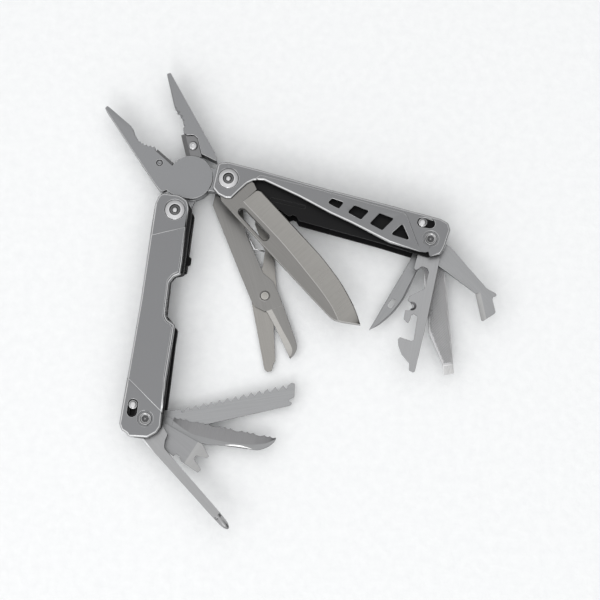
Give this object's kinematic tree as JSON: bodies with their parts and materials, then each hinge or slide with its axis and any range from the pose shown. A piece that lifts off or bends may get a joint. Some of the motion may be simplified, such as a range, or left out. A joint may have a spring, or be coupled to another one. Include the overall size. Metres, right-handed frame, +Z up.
{
  "type": "multi tool",
  "caption": "Folding plier multi tool lying open and fanned out: needle-nose jaws, two channel handles, knife, scissors, saw, file, openers and drivers.",
  "frame": {"origin": "middle of the footprint of the fanned-out tool, on the surface it lies on", "axes": "+Z up out of the surface, towards the front covers; +Y the long way, towards the jaws; +X towards the end of handle A"},
  "size_m": [0.1733, 0.2034, 0.018],
  "materials": {
    "satin_steel": "bead-blasted satin",
    "tool_steel": "fine brushed",
    "blade_steel": "satin, brushed lengthwise",
    "black_liner": "black oxide, satin",
    "bright_fastener": "polished",
    "washer_bronze": "plain",
    "cutter_steel": "dark ground"
  },
  "bodies": {
    "hub": {"hub_pin": "satin_steel"},
    "front_jaw": {"front_jaw": "satin_steel", "front_cutter": "cutter_steel", "front_cutter_screw": "bright_fastener"},
    "rear_jaw": {"rear_jaw": "satin_steel", "rear_cutter": "satin_steel", "rear_cutter_screw": "bright_fastener"},
    "handle_a": {"front_cover_a": "satin_steel", "back_cover_a": "satin_steel", "front_liner_a": "black_liner", "back_liner_a": "black_liner", "jaw_pivot_a": "bright_fastener", "jaw_screws_a": "bright_fastener", "tool_pivot_a": "bright_fastener", "tool_screws_a": "bright_fastener", "jaw_washers_a": "washer_bronze", "tool_washers_a": "washer_bronze"},
    "handle_b": {"front_cover_b": "satin_steel", "back_cover_b": "satin_steel", "front_liner_b": "black_liner", "back_liner_b": "black_liner", "jaw_pivot_b": "bright_fastener", "jaw_screws_b": "bright_fastener", "tool_pivot_b": "bright_fastener", "tool_screws_b": "bright_fastener", "jaw_washers_b": "washer_bronze", "tool_washers_b": "washer_bronze", "side_wall_b": "black_liner"},
    "lock_a": {"lock_slide_a": "bright_fastener"},
    "lock_b": {"lock_slide_b": "bright_fastener"},
    "knife": {"knife_blade": "blade_steel"},
    "scissors": {"scissors_frame": "blade_steel", "scissors_rivet": "bright_fastener", "scissors_spring": "bright_fastener"},
    "scissors_lever": {"scissors_lever": "blade_steel"},
    "pen_blade": {"pen_blade": "tool_steel"},
    "can_opener": {"can_opener": "tool_steel"},
    "file_driver": {"file_driver": "tool_steel"},
    "package_hook": {"package_hook": "tool_steel"},
    "saw_blade": {"saw_blade": "tool_steel"},
    "serrated_blade": {"serrated_blade": "tool_steel"},
    "wire_fork": {"wire_fork": "tool_steel"},
    "phillips_driver": {"phillips_driver": "tool_steel"}
  },
  "joints": [
    {"name": "front_jaw_hinge", "type": "hinge", "parent": "hub", "child": "front_jaw", "pos_m": [-0.048, 0.05355, 0.009], "axis": [0, 0, -1], "range_deg": [-7, 17.6]},
    {"name": "rear_jaw_hinge", "type": "hinge", "parent": "hub", "child": "rear_jaw", "pos_m": [-0.048, 0.05355, 0.009], "axis": [0, 0, 1], "range_deg": [-7, 17.6]},
    {"name": "handle_a_fold", "type": "hinge", "parent": "front_jaw", "child": "handle_a", "pos_m": [-0.0309, 0.05166, 0.009], "axis": [0, 0, 1], "range_deg": [-23.5, 155]},
    {"name": "handle_b_fold", "type": "hinge", "parent": "rear_jaw", "child": "handle_b", "pos_m": [-0.05436, 0.03757, 0.009], "axis": [0, 0, -1], "range_deg": [-20, 158.5]},
    {"name": "knife_fold", "type": "hinge", "parent": "handle_a", "child": "knife", "pos_m": [-0.0309, 0.05166, 0.009], "axis": [0, 0, -1], "range_deg": [-30, 45]},
    {"name": "scissors_fold", "type": "hinge", "parent": "handle_a", "child": "scissors", "pos_m": [-0.0309, 0.05166, 0.009], "axis": [0, 0, -1], "range_deg": [-55, 20]},
    {"name": "scissors_action", "type": "hinge", "parent": "scissors", "child": "scissors_lever", "pos_m": [-0.01522, 0.00135, 0.009], "axis": [0, 0, -1], "range_deg": [-12, 2]},
    {"name": "pen_blade_fold", "type": "hinge", "parent": "handle_a", "child": "pen_blade", "pos_m": [0.05779, 0.02404, 0.009], "axis": [0, 0, 1], "range_deg": [-75, 104]},
    {"name": "can_opener_fold", "type": "hinge", "parent": "handle_a", "child": "can_opener", "pos_m": [0.05779, 0.02404, 0.009], "axis": [0, 0, 1], "range_deg": [-97, 82]},
    {"name": "file_driver_fold", "type": "hinge", "parent": "handle_a", "child": "file_driver", "pos_m": [0.05779, 0.02404, 0.009], "axis": [0, 0, 1], "range_deg": [-115, 64]},
    {"name": "package_hook_fold", "type": "hinge", "parent": "handle_a", "child": "package_hook", "pos_m": [0.05779, 0.02404, 0.009], "axis": [0, 0, 1], "range_deg": [-147, 32]},
    {"name": "saw_blade_fold", "type": "hinge", "parent": "handle_b", "child": "saw_blade", "pos_m": [-0.066, -0.0546, 0.009], "axis": [0, 0, -1], "range_deg": [-73, 106]},
    {"name": "serrated_blade_fold", "type": "hinge", "parent": "handle_b", "child": "serrated_blade", "pos_m": [-0.066, -0.0546, 0.009], "axis": [0, 0, -1], "range_deg": [-93.4, 85.6]},
    {"name": "wire_fork_fold", "type": "hinge", "parent": "handle_b", "child": "wire_fork", "pos_m": [-0.066, -0.0546, 0.009], "axis": [0, 0, -1], "range_deg": [-121, 58]},
    {"name": "phillips_driver_fold", "type": "hinge", "parent": "handle_b", "child": "phillips_driver", "pos_m": [-0.066, -0.0546, 0.009], "axis": [0, 0, -1], "range_deg": [-133.5, 48]},
    {"name": "lock_a_slide", "type": "slide", "parent": "handle_a", "child": "lock_a", "axis": [0.9869, -0.1616, 0], "range_m": [0, 0.0031]},
    {"name": "lock_b_slide", "type": "slide", "parent": "handle_b", "child": "lock_b", "axis": [-0.1253, -0.9921, 0], "range_m": [0, 0.0031]}
  ]
}
